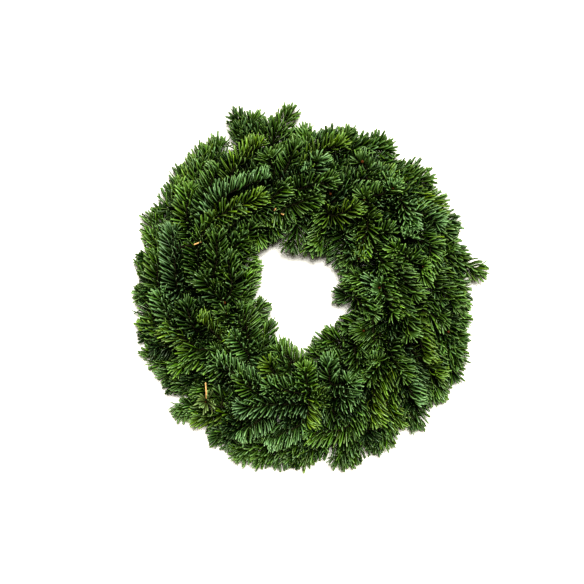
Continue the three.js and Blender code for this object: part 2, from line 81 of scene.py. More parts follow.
# The shoots of each zone, (base x, y, z, tip x, y, z) of the leafy stretch, and the letters of
# their tones in TONES.
SHOOTS = {
    "rim": [
        (10, 200, 30, 9, 222, 25), (20, 211, 24, 66, 221, 17), (68, 204, 28, 119, 207, 21),
        (105, 168, 30, 150, 172, 19), (140, 158, 36, 173, 164, 27), (140, 146, 40, 190, 122, 33),
        (172, 120, 24, 206, 96, 15), (188, 98, 30, 206, 76, 21), (198, 60, 30, 247, 38, 19),
        (205, 22, 24, 221, -16, 15), (195, -30, 30, 218, -55, 19), (203, -62, 22, 209, -97, 15),
        (185, -92, 28, 186, -138, 19), (160, -145, 24, 160, -174, 15),
        (120, -148, 32, 134, -172, 23), (110, -172, 22, 104, -207, 13),
        (68, -196, 30, 54, -226, 17), (50, -200, 22, 12, -213, 15), (20, -207, 30, -14, -221, 19),
        (-12, -205, 22, -48, -220, 15), (-45, -205, 28, -86, -217, 17),
        (-92, -184, 24, -115, -196, 15), (-108, -164, 32, -140, -169, 23),
        (-130, -162, 20, -160, -156, 15), (-130, -125, 34, -168, -121, 25),
        (-160, -108, 26, -198, -91, 17), (-190, -86, 22, -211, -79, 15),
        (-196, -56, 26, -216, -40, 17), (-203, -35, 32, -209, 10, 21), (-190, 28, 22, -212, 44, 15),
        (-196, 58, 30, -207, 84, 23), (-186, 86, 22, -195, 117, 15), (-172, 118, 30, -169, 154, 23),
        (-158, 148, 24, -148, 184, 15), (-138, 170, 30, -115, 212, 19),
        (-56, 212, 22, -90, 250, 15), (-40, 214, 28, -19, 256, 17),
    ],
    "shoulder": [
        (14, 168, 58, 24, 187, 70), (30, 202, 50, 53, 211, 54), (94, 172, 52, 83, 187, 62),
        (96, 122, 62, 87, 137, 76), (112, 142, 64, 122, 156, 74), (135, 138, 62, 150, 100, 74),
        (164, 118, 50, 188, 105, 54), (152, 50, 60, 131, 64, 78), (178, 72, 58, 169, 30, 72),
        (182, 22, 54, 212, -8, 56), (128, 48, 66, 156, 6, 76), (168, -18, 58, 194, -30, 58),
        (160, -38, 64, 170, -82, 68), (134, -4, 70, 149, -48, 78), (172, -92, 58, 188, -106, 56),
        (146, -116, 62, 156, -140, 64), (124, -76, 68, 140, -106, 74),
        (100, -134, 64, 101, -166, 62), (64, -180, 58, 15, -189, 64), (12, -140, 72, 9, -168, 76),
        (-2, -177, 60, -40, -195, 62), (-58, -170, 60, -80, -185, 60),
        (-35, -148, 70, -80, -153, 70), (-128, -150, 54, -131, -144, 76),
        (-146, -84, 64, -170, -96, 60), (-132, -72, 70, -156, -78, 68),
        (-152, -64, 60, -183, -46, 62), (-178, -38, 58, -194, 2, 62), (-172, 18, 66, -177, 88, 68),
        (-196, 12, 52, -200, 52, 54), (-158, 106, 62, -156, 145, 64),
        (-132, 138, 62, -118, 172, 60), (-98, 168, 54, -62, 211, 50), (-112, 134, 70, -52, 163, 72),
        (-38, 168, 58, -43, 191, 68), (-22, 176, 54, -8, 206, 56),
    ],
    "crest": [
        (2, 150, 76, 38, 158, 84), (-16, 126, 76, 16, 138, 84), (44, 112, 72, 72, 122, 80),
        (92, 100, 70, 81, 64, 78), (96, 86, 62, 120, 90, 74), (98, 72, 58, 113, 46, 72),
        (100, -28, 66, 106, -84, 72), (114, 12, 68, 127, -20, 78), (74, 4, 54, 95, -20, 66),
        (110, -92, 66, 96, -108, 76), (76, -66, 56, 80, -100, 70), (42, -120, 66, 38, -92, 70),
        (58, -138, 66, 67, -119, 80), (10, -128, 66, 6, -102, 78), (4, -134, 60, -42, -124, 76),
        (-34, -112, 62, -43, -94, 72), (-62, -132, 66, -82, -112, 72),
        (-76, -116, 66, -112, -92, 74), (-72, -82, 58, -90, -58, 72),
        (-112, -58, 70, -136, -34, 78), (-98, -46, 62, -103, -24, 80),
        (-105, -14, 70, -133, 22, 80), (-148, -42, 66, -158, -14, 70), (-98, 5, 64, -100, 52, 70),
        (-118, 38, 72, -116, 82, 76), (-142, 72, 68, -124, 104, 70), (-110, 84, 66, -80, 112, 74),
        (-118, 106, 74, -60, 136, 80), (-55, 124, 68, -25, 150, 76), (-88, 72, 52, -68, 98, 60),
    ],
    "throat": [
        (-46, 112, 48, -37, 94, 46), (-40, 128, 62, -22, 111, 62), (-6, 112, 48, -12, 76, 40),
        (34, 108, 54, 25, 75, 54), (62, 82, 36, 56, 56, 28), (110, 8, 58, 74, 26, 58),
        (76, 2, 28, 61, 3, 22), (104, -26, 50, 66, -42, 48), (54, -70, 32, 48, -52, 30),
        (58, -62, 40, 33, -64, 42), (44, -90, 46, 22, -79, 40), (-8, -92, 46, -30, -74, 40),
        (-58, -76, 40, -47, -44, 32), (-78, -42, 42, -61, -14, 32), (-74, -54, 58, -79, -20, 56),
        (-88, -12, 48, -75, 26, 46), (-86, 22, 30, -72, 44, 26), (-94, 50, 40, -77, 66, 34),
        (-70, 94, 46, -60, 82, 40),
    ],
}
SHOOT_TONES = {
    "rim": "bdmymylmmbmmmdydddmmmdymmmmymmbdbymdm",
    "shoulder": "lymmbllbbmmmymylmybyllkobmylkmbmylmm",
    "crest": "mmyymmmbmmmllblymllymddmmmmymm",
    "throat": "mmdbdbdmmmmbmmmbbmb",
}

# Shoots seen half end-on, as shells: their places in the list, and the way that they are brushed in
# plan.
SHELLS = {
    "rim": {},
    "shoulder": {
        12: (1.0, 0.15), 14: (0.8, -0.3), 15: (1.0, -0.05), 19: (1.0, 0.1), 20: (-0.4, -1.0),
        21: (-0.2, -1.0), 24: (-0.8, -0.5), 31: (-1.0, 0.3), 33: (-0.3, 1.0),
    },
    "crest": {6: (-1.0, 0.1), 19: (1.0, 0.3), 26: (-0.2, 1.0)},
    "throat": {16: (1.0, 0.3)},
}

# Smaller shoots in the same form, each on the stem or shoot of its zone that comes nearest to its
# base.
SIDE_SHOOTS = {
    "rim": [
        (6, 203, 22, 4, 228, 18), (22, 203, 18, 44, 224, 15), (40, 204, 30, 66, 222, 24),
        (82, 200, 20, 108, 216, 16), (-150, 165, 22, -136, 200, 16), (-172, 138, 20, -166, 170, 15),
        (-184, 124, 20, -181, 142, 14), (126, 168, 26, 158, 176, 20), (98, 184, 20, 124, 186, 16),
        (164, 142, 24, 188, 132, 18), (190, 114, 20, 208, 102, 15), (200, 74, 22, 220, 54, 18),
        (212, 12, 22, 222, -8, 16), (205, -10, 24, 222, -32, 18), (206, -62, 26, 218, -88, 20),
        (206, -88, 18, 214, -108, 14), (188, -104, 22, 191, -130, 16),
        (150, -142, 20, 146, -168, 15), (118, -170, 22, 116, -200, 16),
        (84, -196, 20, 72, -222, 15), (-198, 80, 22, -206, 108, 15), (-208, 20, 24, -220, 44, 17),
        (-212, -20, 20, -220, 4, 15), (-70, 222, 22, -70, 246, 17), (-60, 216, 22, -53, 232, 16),
        (-40, 216, 22, -38, 239, 16), (206, 22, 24, 222, 14, 18), (-170, -104, 20, -186, -108, 15),
        (-194, -44, 22, -208, -44, 16), (110, -170, 20, 118, -182, 15),
        (112, -156, 22, 134, -164, 18), (-40, -208, 20, -60, -226, 14),
        (-20, -210, 20, -34, -226, 14), (14, -208, 20, 4, -226, 14), (-108, 166, 24, -104, 187, 16),
        (-90, -188, 20, -95, -202, 14), (-112, 184, 22, -122, 204, 16),
        (190, -56, 22, 214, -74, 16), (-62, -204, 22, -80, -220, 16), (68, 196, 24, 84, 214, 20),
        (-80, 204, 22, -87, 229, 15), (62, -204, 18, 63, -226, 14),
        (-148, -148, 20, -169, -157, 15), (-78, 212, 30, -84, 234, 24),
        (-22, 200, 20, -20, 226, 16), (160, -120, 24, 174, -132, 20),
        (-112, -160, 18, -126, -170, 14), (-204, 6, 22, -220, 4, 16), (206, -66, 20, 220, -66, 15),
    ],
    "shoulder": [
        (12, 164, 36, 40, 176, 34), (60, 168, 40, 92, 170, 40), (-60, 180, 44, -30, 196, 44),
        (-140, 120, 44, -134, 150, 44), (-176, 60, 44, -180, 92, 42), (150, 96, 44, 176, 76, 44),
        (178, 0, 44, 190, -32, 42), (150, -90, 44, 160, -120, 42), (90, -150, 44, 70, -178, 42),
        (-20, -176, 42, -54, -184, 40), (-110, -140, 44, -140, -130, 44),
        (-170, -40, 44, -184, -10, 42), (-124, 122, 46, -120, 148, 46), (182, 44, 56, 168, 42, 78),
        (147, 98, 66, 147, 84, 80), (124, 158, 60, 126, 150, 78), (40, -152, 44, 52, -172, 42),
        (186, 20, 40, 192, 0, 40), (168, 84, 44, 178, 104, 42), (96, 160, 44, 114, 168, 44),
    ],
    "crest": [
        (-20, 118, 52, 12, 124, 56), (70, 100, 50, 96, 84, 52), (110, 40, 52, 124, 12, 56),
        (110, -50, 50, 104, -82, 54), (20, -116, 50, -10, -118, 54), (-90, -100, 50, -116, -76, 54),
        (-120, 0, 52, -122, 34, 56), (-100, 60, 50, -88, 90, 54), (80, 70, 60, 79, 54, 80),
        (98, 16, 60, 107, 13, 80), (92, -44, 60, 86, -46, 79), (101, -78, 62, 101, -86, 80),
    ],
    "throat": [
        (16, 106, 40, 12, 71, 34), (48, 92, 34, 38, 68, 30), (30, 98, 34, 24, 74, 30),
        (80, 68, 42, 68, 52, 36), (86, 42, 30, 70, 30, 26), (84, -20, 28, 72, -40, 24),
        (-10, -108, 34, -30, -92, 30), (-30, -112, 30, -48, -88, 28), (-68, -86, 34, -60, -64, 30),
        (54, -92, 30, 36, -80, 26), (-90, -8, 36, -80, 0, 32), (-60, -82, 30, -45, -69, 26),
    ],
}
SIDE_TONES = {
    "rim": "mdmdmdmddmdmdmmdmdmdmmdmdmmmdmdmdmmddmmdmmmdmmdmd",
    "shoulder": "dmmdmdmdmdmddblldddd",
    "crest": "mmdmmmmdllmm",
    "throat": "mddmddmdmddd",
}
SIDE_SHELLS = {
    "rim": {},
    "shoulder": {13: (1.0, 0.1), 14: (0.1, 1.0), 15: (-0.2, 1.0)},
    "crest": {8: (0.0, 1.0), 9: (-1.0, 0.25), 10: (-0.9, -0.3), 11: (0.0, 1.0)},
    "throat": {},
}

# Short spurs between the needles: where the bare end of each starts and stops, and whether it ends
# in a bud or is cut and peeled.
SPURS = {
    "rim": [(203, -46, 36, 205, -48, 44, "bud"), (208, 16, 34, 210, 14, 42, "bud")],
    "shoulder": [
        (-130, -140, 80, -131, -117, 84, "cut"), (-148, 72, 80, -137, 76, 82, "cut"),
        (83, 184, 66, 84, 186, 74, "bud"), (47, 165, 72, 45, 166, 80, "bud"),
    ],
    "crest": [
        (-37, 119, 82, -35, 121, 89, "cut"), (-27, 115, 80, -24, 113, 86, "cut"),
        (-105, -10, 78, -105, -8, 86, "bud"), (40, 140, 84, 40, 141, 91, "bud"),
        (85, 133, 76, 86, 134, 84, "bud"),
    ],
    "throat": [],
}

# Undergrowth twigs: how many degrees each turns outwards from the way of the ring, and its rise.
UNDERGROWTH = {
    "rim": [(-38, 0.10), (-8, 0.25), (16, 0.15), (36, 0.05), (54, 0.05)],
    "shoulder": [(-30, 0.15), (8, 0.30), (40, 0.20), (62, 0.10)],
    "crest": [(-62, 0.10), (-35, 0.20), (-5, 0.30), (30, 0.20)],
    "throat": [(-42, 0.10), (-22, 0.20), (12, 0.25), (38, 0.05)],
}
TWIG_ROUNDS = 2  # how often a stem bears its zone's list
TWIG_START = BUTT_LENGTH + TIE_EXIT - 4  # along the stem
TWIG_PLACES = (0.2, 0.8)  # in its share of the stem
TWIG_TURN = 10  # by how many degrees a turn may differ
TWIG_RISE = 0.1  # and a rise
TWIG_LENGTH = (36, 50)
TWIG_REACH = (90, 216)  # where the ends may lie, from the wreath's axis
TWIG_LEAVE = 6  # along the stem before it turns away
TWIG_MIDDLE = 0.55
TWIG_BARE = 5.0

# Side shoots and spurs: how many points of a carrier are tried for the foot, where on a shoot it
# may lie, and how far from it the base has to be for a bend in between.
SIDE_TRIES = 24
SPUR_TRIES = 40
SIDE_START = 5
SIDE_SHARE = 0.7
SIDE_REACH = 8
SIDE_BARE = 4
BARE_SHARE = 0.1  # how much of the way from a shoot's foot to its base is bare

# ---- looks

# Linear colours of needles, and how much the pale bands of their undersides show.
TONES = {
    "b": ((0.096, 0.168, 0.010), 0.60),
    "m": ((0.059, 0.106, 0.007), 0.50),
    "d": ((0.035, 0.069, 0.005), 0.40),
    "l": ((0.070, 0.133, 0.018), 1.00),
    "k": ((0.042, 0.083, 0.014), 0.85),
    "y": ((0.104, 0.161, 0.008), 0.45),
    # "u", the undergrowth, is near black: painted shade in the gaps between the shoots
    "u": ((0.016, 0.036, 0.005), 0.20),
    "o": ((0.135, 0.172, 0.050), 0.60),
}
PALE = (0.24, 0.37, 0.22)
# the pale blue of the needles' outer halves: partly their wax bloom, partly painted highlight
BLOOM_AND_TIP_HIGHLIGHT = (0.29, 0.43, 0.29)
NEEDLE_ENDS = (0.17, 0.17, 0.03)
GREEN_BARK = (0.03, 0.042, 0.011)
RING_GREEN = (0.020, 0.055, 0.028)
BINDING_GREEN = (0.030, 0.060, 0.030)
STEEL = (0.30, 0.30, 0.28)

# How a zone's needles are brushed: weights of up and outwards in the way that they turn, the share
# of the whole turn round the shoot that they are spread over, and how much the lowest curl up.
BRUSH = {
    "rim": (0.90, 0.35, 0.66, 0.7),
    "shoulder": (0.65, 0.75, 0.62, 1.2),
    "crest": (1.00, 0.00, 0.70, 0.9),
    "throat": (0.80, -0.45, 0.66, 0.7),
}
BRUSH_TILT = 0.6  # how far that way may tilt, and its shares in x, y and z
TILT_SHARES = [1, 1, 0.3]

# Shoots of these tones are swept to one side: by how many degrees, and how much more they curl.
SWEPT_TONES = "bl"
SWEPT_ROLL = (22, 40)
SWEPT_CURL = 0.3

# Shells: how much the direction that they are brushed in rises, and how much more they curl.
SHELL_RISE = 0.35
SHELL_CURL = 0.5

# A shoot of this tone is seen end-on, as a star: how much of it bears needles.
STAR_TONE = "o"
STAR_LENGTH = 13

NEEDLE_LENGTH = 27
NEEDLE_WIDTH = 3.1
NEEDLE_THICK = 1.4
# Where a needle's sections lie, in shares of its length, and their widths.
SECTIONS = np.array([0.0, 0.2, 0.46, 0.72, 0.95])
SECTION_WIDTHS = np.array([0.6, 0.85, 1.0, 1.05, 0.9])
CORNERS = 4 * len(SECTIONS) + 1

# Needles along a twig.
NEEDLE_SPACING = 1.45
FEWEST_NEEDLES = 6
ROOT_SPREAD = 0.2
AROUND_POWER = 1.2  # crowds them on the side that they are brushed to
AROUND_SPREAD = 0.06
LEAN = math.radians(14)  # forwards, at the foot, at the tip, and how much more when on top
TIP_LEAN = math.radians(34)
TOP_LEAN = math.radians(24)
LEAN_SPREAD = 0.04
BEND_FORWARDS = 0.40
SIDE_FORWARDS = 0.15
PARTING = 0.45  # how far those on top bend to either hand
CURL_UP = 0.85  # the direction in which the lowest curl
CURL_FORWARDS = 0.15
BEND_SPREADS = (0.08, 0.04)  # of the whole bend, and of each of its parts
TIP_SHORTER = 0.14
LENGTH_SHARES = (0.92, 1.06)
FACE_FORWARDS = 0.45
FACE_SPREAD = 0.16
FOOT_TINT = 0.82  # and how much lighter the young needles near the tip are
YOUNG_TINT = 0.36
TINT_SPREAD = 0.26
HUE_SPREAD = 0.05
PALE_SPREAD = 0.18

# The tuft at a tip: the share of the whole turn that its needles take, and how much they curl.
TUFT_ROUND = (1.0, 0.5)
TUFT_SHELL = (0.6, 1.0)
TUFT_COUNT = 17
TUFT_LEAN = (24, 76)  # degrees
TUFT_LENGTHS = (0.62, 0.80)
TUFT_RADIUS = 0.8
TUFT_TINT = 1.2
TUFT_BEND_SPREAD = 0.05
TUFT_FACE_SPREAD = 0.3
TUFT_TINT_SPREAD = 0.12
TUFT_PALE_SPREAD = 0.15

# The look of undergrowth, whose near-black tone "u" is painted shade in the gaps between the
# shoots.
TWIG_LOOK = {"spread": 0.9, "curl": 0.4, "length": 0.95, "tone": "u", "tuft": TUFT_ROUND}

# Twigs: the radii at the foot and the end, and the number of sides.
STEM_BARK = ((1.75, 1.5), 8)
SHOOT_BARK = ((1.4, 0.9), 7)
TWIG_BARK = ((1.3, 0.8), 6)
SPUR_BARK = ((1.3, 1.0), 7)
PEELED_BARK = ((1.5, 1.5), 9)
PEELED_WOOD = ((1.3, 1.1), 9)
BARK_STEP = 3.0
TWIG_RINGS = 12
SPUR_RINGS = 10
PEELED_RINGS = 8

# Buds: their lengths, their rings and sides, and their radius as a share of the length.
SHOOT_BUD = (3.5, 5.0)
SPUR_BUD = (5.0, 6.5)
BUD_RINGS = 7
BUD_SIDES = 10
BUD_GIRTH = 0.42
BUD_POINT = 0.06
BUD_SCALES = 0.10  # how much every other ring stands out
BUD_SUNK = 0.5  # in the end of its twig
BUD_TINTS = (0.85, 1.2)
ASKEW = [0.3, 0.5, 0.8]  # a direction that no twig runs in

RING_WIRE = (2.0, 14)  # radius and sides
BINDING_WIRE = (0.48, 8)
WIRE_STEP = 1.5
CORNER_INSET = 2.0  # where the binding's corners start to round, in mm or as a share
CORNER_SHARE = 0.45
CORNER_STEPS = (0, 0.33, 0.67, 1)

NEEDLES, BARK, BUD, CUT = range(4)  # places of a spray's materials
SOFT_FLOOR = 5.0  # below this height foliage is pressed flatter
TANGENT_REACH = 1.5
BEZIER_POINTS = 60
SPLINE_POINTS = 24
TIE_POINTS = 8
UV_LENGTH = 10  # of a tube, for each unit of its blade UV
GOLDEN = math.pi * (3 - math.sqrt(5))
TURN = 2 * math.pi
UP = np.array([0.0, 0.0, 1.0])

# ---- helpers


def unit(v):
    return v / np.linalg.norm(v, axis=-1, keepdims=True)


def ends_of(numbers):
    """The base and the tip in (base x, y, z, tip x, y, z)."""
    return np.array(numbers, float).reshape(2, 3)


def clock_point(angle, radius, z):
    return np.array([radius * math.sin(angle), radius * math.cos(angle), z])


def clock_angle(p):
    return math.atan2(p[0], p[1]) % TURN


def clock_tangent(angle):
    return np.array([math.cos(angle), -math.sin(angle), 0.0])


def ring_angle(k, ahead):
    return TURN * k / STATIONS + ahead / RING_RADIUS


def beside_ring(k, ahead, out, up):
    return clock_point(ring_angle(k, ahead), RING_RADIUS + out, RING_HIGH + up)


def outwards_at(point):
    return unit(point * [1, 1, 0])


def lengths_along(points):
    return np.concatenate([[0], np.cumsum(np.linalg.norm(np.diff(points, axis=0), axis=1))])


class Path:
    """A polyline, with the point and the tangent at any length along it."""

    def __init__(self, points):
        self.points = np.asarray(points, float)
        self.at = lengths_along(self.points)
        self.length = self.at[-1]

    def point(self, s):
        return np.stack([np.interp(s, self.at, self.points[:, i]) for i in range(3)], -1)

    def tangent(self, s):
        return unit(self.point(s + TANGENT_REACH) - self.point(s - TANGENT_REACH))

    def end(self):
        """The last point, and the direction just before it."""
        return self.point(self.length), self.tangent(self.length - 1)


def bezier(p0, p1, p2, p3):
    t = np.linspace(0, 1, BEZIER_POINTS)[:, None]
    return (1 - t) ** 3 * p0 + 3 * (1 - t) ** 2 * t * p1 + 3 * (1 - t) * t**2 * p2 + t**3 * p3


def catmull_rom(points):
    """The centripetal Catmull-Rom curve through the points, as three.js draws it."""
    p = [2 * points[0] - points[1], *points, 2 * points[-1] - points[-2]]
    out = []
    for i in range(1, len(p) - 2):
        steps = np.diff(p[i - 1 : i + 3], axis=0)
        dt = [max(math.sqrt(np.linalg.norm(step)), 1e-4) for step in steps]
        t1 = steps[0] / dt[0] - (p[i + 1] - p[i - 1]) / (dt[0] + dt[1]) + steps[1] / dt[1]
        t2 = steps[1] / dt[1] - (p[i + 2] - p[i]) / (dt[1] + dt[2]) + steps[2] / dt[2]
        t1, t2 = t1 * dt[1], t2 * dt[1]
        t = np.linspace(0, 1, SPLINE_POINTS, endpoint=i == len(p) - 3)[:, None]
        c2 = -3 * p[i] + 3 * p[i + 1] - 2 * t1 - t2
        c3 = 2 * p[i] - 2 * p[i + 1] + t1 + t2
        out.append(p[i] + t1 * t + c2 * t**2 + c3 * t**3)
    return np.concatenate(out)


# ---- meshes

low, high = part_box("ring_wire")
RING_MIDDLE = np.array([(low.x + high.x) / 2, (low.y + high.y) / 2, 0])


def to_row(points):
    return points / 1000 + RING_MIDDLE


def settle(points):
    """Keeps what would dip through the surface just above it, as needles bend where they press."""
    z = points[:, 2]
    points[:, 2] = np.where(z < SOFT_FLOOR, SOFT_FLOOR * np.exp((z - SOFT_FLOOR) / SOFT_FLOOR), z)
    return points


def put(name, data):
    thing = bpy.data.objects.new(name, data)
    scene.collection.objects.link(thing)
    return thing


class Builder:
    """Collects faces with their UVs, tints and materials, and makes one mesh of them."""

    def __init__(self):
        self.verts, self.tints, self.pales = [], [], []
        self.loops, self.sizes, self.uvs, self.materials = [], [], [], []
        self.count = 0

    def add(self, verts, loops, sizes, uvs, material, tint, pale=0):
        verts = np.asarray(verts, float).reshape(-1, 3)
        self.verts.append(verts)
        self.tints.append(np.broadcast_to(tint, (len(verts), 3)))
        self.pales.append(np.broadcast_to(pale, (len(verts),)))
        self.loops.append(loops + self.count)
        self.sizes.append(sizes)
        self.uvs.append(np.asarray(uvs, float).reshape(-1, 2))
        self.materials.append(np.full(len(sizes), material))
        self.count += len(verts)

    def cap(self, corners, material):
        """A flat end on the given corners, counted from the end of what was added last."""
        self.loops.append(self.count + corners)
        self.sizes.append(np.array([len(corners)]))
        self.uvs.append(np.full((len(corners), 2), 0.5))
        self.materials.append(np.array([material]))

    def make(self, name, materials):
        verts = to_row(settle(np.concatenate(self.verts)))
        loops, sizes = np.concatenate(self.loops), np.concatenate(self.sizes)
        mesh = bpy.data.meshes.new(name)
        mesh.vertices.add(len(verts))
        mesh.vertices.foreach_set("co", verts.astype(np.float32).ravel())
        mesh.loops.add(len(loops))
        mesh.loops.foreach_set("vertex_index", loops.astype(np.int32))
        mesh.polygons.add(len(sizes))
        starts = np.concatenate([[0], np.cumsum(sizes)[:-1]])
        mesh.polygons.foreach_set("loop_start", starts.astype(np.int32))
        places = np.concatenate(self.materials)
        mesh.polygons.foreach_set("material_index", places.astype(np.int32))
        mesh.polygons.foreach_set("use_smooth", np.ones(len(sizes), bool))
        blade = mesh.uv_layers.new(name="blade")
        blade.data.foreach_set("uv", np.concatenate(self.uvs).astype(np.float32).ravel())
        tint = mesh.attributes.new("tint", "FLOAT_COLOR", "POINT")
        tints = np.concatenate([np.concatenate(self.tints), np.ones((len(verts), 1))], 1)
        tint.data.foreach_set("color", tints.astype(np.float32).ravel())
        pale = mesh.attributes.new("pale", "FLOAT", "POINT")
        pale.data.foreach_set("value", np.concatenate(self.pales).astype(np.float32))
        for material in materials:
            mesh.materials.append(material)
        mesh.update(calc_edges=True)
        mesh.validate()
        return put(name, mesh)


def tube(builder, points, radii, sides, material, tint=0, side=UP, closed=False):
    """A round tube through the points. Its first corner is towards `side`, one direction for all of
    an open tube, and one for all or for each point of a closed one."""
    count = len(points)
    if closed:
        along = unit(np.roll(points, -1, 0) - np.roll(points, 1, 0))
    else:
        along = unit(np.gradient(points, axis=0))
    radii = np.broadcast_to(radii, (count,))
    side = np.broadcast_to(side, (count, 3))
    u = side - (side * along).sum(1, keepdims=True) * along
    if not closed:
        carried = [unit(u[0])]
        for t in along[1:]:
            carried.append(unit(carried[-1] - carried[-1].dot(t) * t))
        u = np.array(carried)
    u = unit(u)
    v = np.cross(along, u)
    a = np.arange(sides) * TURN / sides
    ring = np.cos(a)[None, :, None] * u[:, None] + np.sin(a)[None, :, None] * v[:, None]
    verts = points[:, None] + ring * radii[:, None, None]
    rows = count if closed else count - 1
    i, j = np.meshgrid(np.arange(rows), np.arange(sides), indexing="ij")
    k, n = (j + 1) % sides, (i + 1) % count
    loops = np.stack([i * sides + j, i * sides + k, n * sides + k, n * sides + j], -1).reshape(-1)
    lengths = lengths_along(points)
    reach = np.append(lengths, lengths[-1] + 1)
    lengthways = np.stack([reach[i], reach[i], reach[i + 1], reach[i + 1]], -1) / UV_LENGTH
    uvs = np.stack([lengthways, np.stack([j, j + 1, j + 1, j], -1) / sides], -1)
    builder.add(verts, loops, np.full(rows * sides, 4), uvs, material, tint)
    if not closed:
        corners = np.arange(sides)
        builder.cap(corners[::-1] - count * sides, material)
        builder.cap(corners - sides, material)


def needle_template():
    """A needle's corners by face, the sizes of its faces and its UVs. Its sections come one after
    another from the root, each with a left, upper, right and lower corner, and the point last."""
    loops, uvs = [], []
    for s, (near, far) in enumerate(zip(SECTIONS[:-1], SECTIONS[1:])):
        for j in range(4):
            k = (j + 1) % 4
            loops += [s * 4 + j, s * 4 + k, s * 4 + 4 + k, s * 4 + 4 + j]
            uvs += [[near, j / 4], [near, (j + 1) / 4], [far, (j + 1) / 4], [far, j / 4]]
    sizes = [4] * (len(loops) // 4 + 1) + [3] * 4
    loops += [3, 2, 1, 0]
    uvs += [[0, 0.75], [0, 0.5], [0, 0.25], [0, 0]]
    end, point = CORNERS - 5, CORNERS - 1
    for j in range(4):
        loops += [end + j, end + (j + 1) % 4, point]
        uvs += [[SECTIONS[-1], j / 4], [SECTIONS[-1], (j + 1) / 4], [1, (j + 0.5) / 4]]
    return np.array(loops), np.array(sizes), np.array(uvs)


NEEDLE_LOOPS, NEEDLE_SIZES, NEEDLE_UVS = needle_template()


def add_needles(builder, roots, directions, bends, faces, lengths, tints, pales):
    """Flat needles in the shape of arcs. The part of `bends` that is square to a needle points to
    where it turns, and is as long as the turn. `faces` is where its upper side faces."""
    count = len(roots)
    bends = bends - (bends * directions).sum(1, keepdims=True) * directions
    turns = np.linalg.norm(bends, axis=1)[:, None, None]
    inwards = bends[:, None] / turns
    t = np.append(SECTIONS, 1.0)[None, :, None]
    forwards, sideways = np.sin(turns * t) / turns, (1 - np.cos(turns * t)) / turns
    arcs = directions[:, None] * forwards + inwards * sideways
    centre = roots[:, None] + lengths[:, None, None] * arcs
    centre, tips = centre[:, :-1], centre[:, -1]
    t = SECTIONS[None, :, None]
    along = directions[:, None] * np.cos(turns * t) + inwards * np.sin(turns * t)
    side = unit(np.cross(along, np.broadcast_to(faces[:, None], along.shape)))
    top = np.cross(side, along)
    wide = NEEDLE_WIDTH / 2 * SECTION_WIDTHS[None, :, None]
    thick = NEEDLE_THICK / 2 * SECTION_WIDTHS[None, :, None]
    side, top = side * wide, top * thick
    corners = np.stack([centre - side, centre + top, centre + side, centre - top], 2)
    corners = corners.reshape(count, CORNERS - 1, 3)
    verts = np.concatenate([corners, tips[:, None]], 1)
    loops = (NEEDLE_LOOPS[None] + CORNERS * np.arange(count)[:, None]).reshape(-1)
    sizes, uvs = np.tile(NEEDLE_SIZES, count), np.tile(NEEDLE_UVS, (count, 1))
    tints, pales = np.repeat(tints, CORNERS, 0), np.repeat(pales, CORNERS)
    builder.add(verts, loops, sizes, uvs, NEEDLES, tints, pales)


# ---- layout


def shoots_of(table, tones, shells):
    shoots = []
    for i, (numbers, tone) in enumerate(zip(table, tones)):
        base, tip = ends_of(numbers)
        shoots.append({"base": base, "tip": tip, "tone": tone, "brushed": shells.get(i)})
    return shoots


def sprays_of(zone):
    """The zone's sprays, each with the shoots that start in its station's stretch."""
    sprays = [
        {"zone": zone, "k": k, "shoots": [], "side_shoots": [], "spurs": []}
        for k in range(STATIONS)
    ]
    for shoot in shoots_of(SHOOTS[zone], SHOOT_TONES[zone], SHELLS[zone]):
        share = ((clock_angle(shoot["base"]) - math.radians(LEADS[zone])) % TURN) / TURN
        sprays[int(share * STATIONS)]["shoots"].append(shoot)
    return [spray for spray in sprays if spray["shoots"]]


def lay_out(spray):
    """The stem from its cut end to its last shoot, and each shoot's path from stem to tip."""
    k, shoots = spray["k"], spray["shoots"]
    slot = math.radians(SLOTS[spray["zone"]])
    out, up = SLOT_DISTANCE * math.cos(slot), SLOT_DISTANCE * math.sin(slot)
    start = beside_ring(k, TIE_EXIT, out, up)
    middle = np.mean([shoot["base"] for shoot in shoots], axis=0)
    end = start + (middle - start) * FORK_SHARE
    onwards = unit(middle - end)
    reach = np.linalg.norm(end - start)
    leave = start + clock_tangent(ring_angle(k, TIE_EXIT)) * reach * LEAVE_PULL
    bend = bezier(start, leave, end - onwards * reach * ARRIVE_PULL, end)
    shoots.sort(key=lambda shoot: unit(shoot["base"] - end).dot(onwards))

    aheads = np.linspace(-BUTT_LENGTH, TIE_EXIT, TIE_POINTS)[:-1]
    tie = [beside_ring(k, ahead, out, up) for ahead in aheads]
    spray["stem"] = Path(np.concatenate([tie, bend]))
    bend = Path(bend)
    for i, shoot in enumerate(shoots):
        last = i == len(shoots) - 1
        fork = bend.length - FORK_STEP * (len(shoots) - 1 - i) + (0 if last else FORK_BAND / 2)
        foot, along = bend.point(fork), bend.tangent(fork)
        towards = unit(shoot["base"] - foot)
        normal = along if last else unit(towards - towards.dot(along) * along)
        collar = foot + unit(normal + towards) * COLLAR
        shoot["path"] = Path(catmull_rom([foot, collar, shoot["base"], shoot["tip"]]))
        shoot["bare"] = BARE_SHARE * np.linalg.norm(shoot["base"] - foot)


def nearest_foot(base, carriers, tries):
    """Where the carriers (spray, path, start, stop) come nearest to a base: how near, the point and
    the spray."""
    found = []
    for spray, path, start, stop in carriers:
        points = path.point(np.linspace(start, stop, tries))
        foot = points[np.argmin(np.linalg.norm(points - base, axis=1))]
        found.append((np.linalg.norm(foot - base), foot, spray))
    return min(found, key=lambda entry: entry[0])


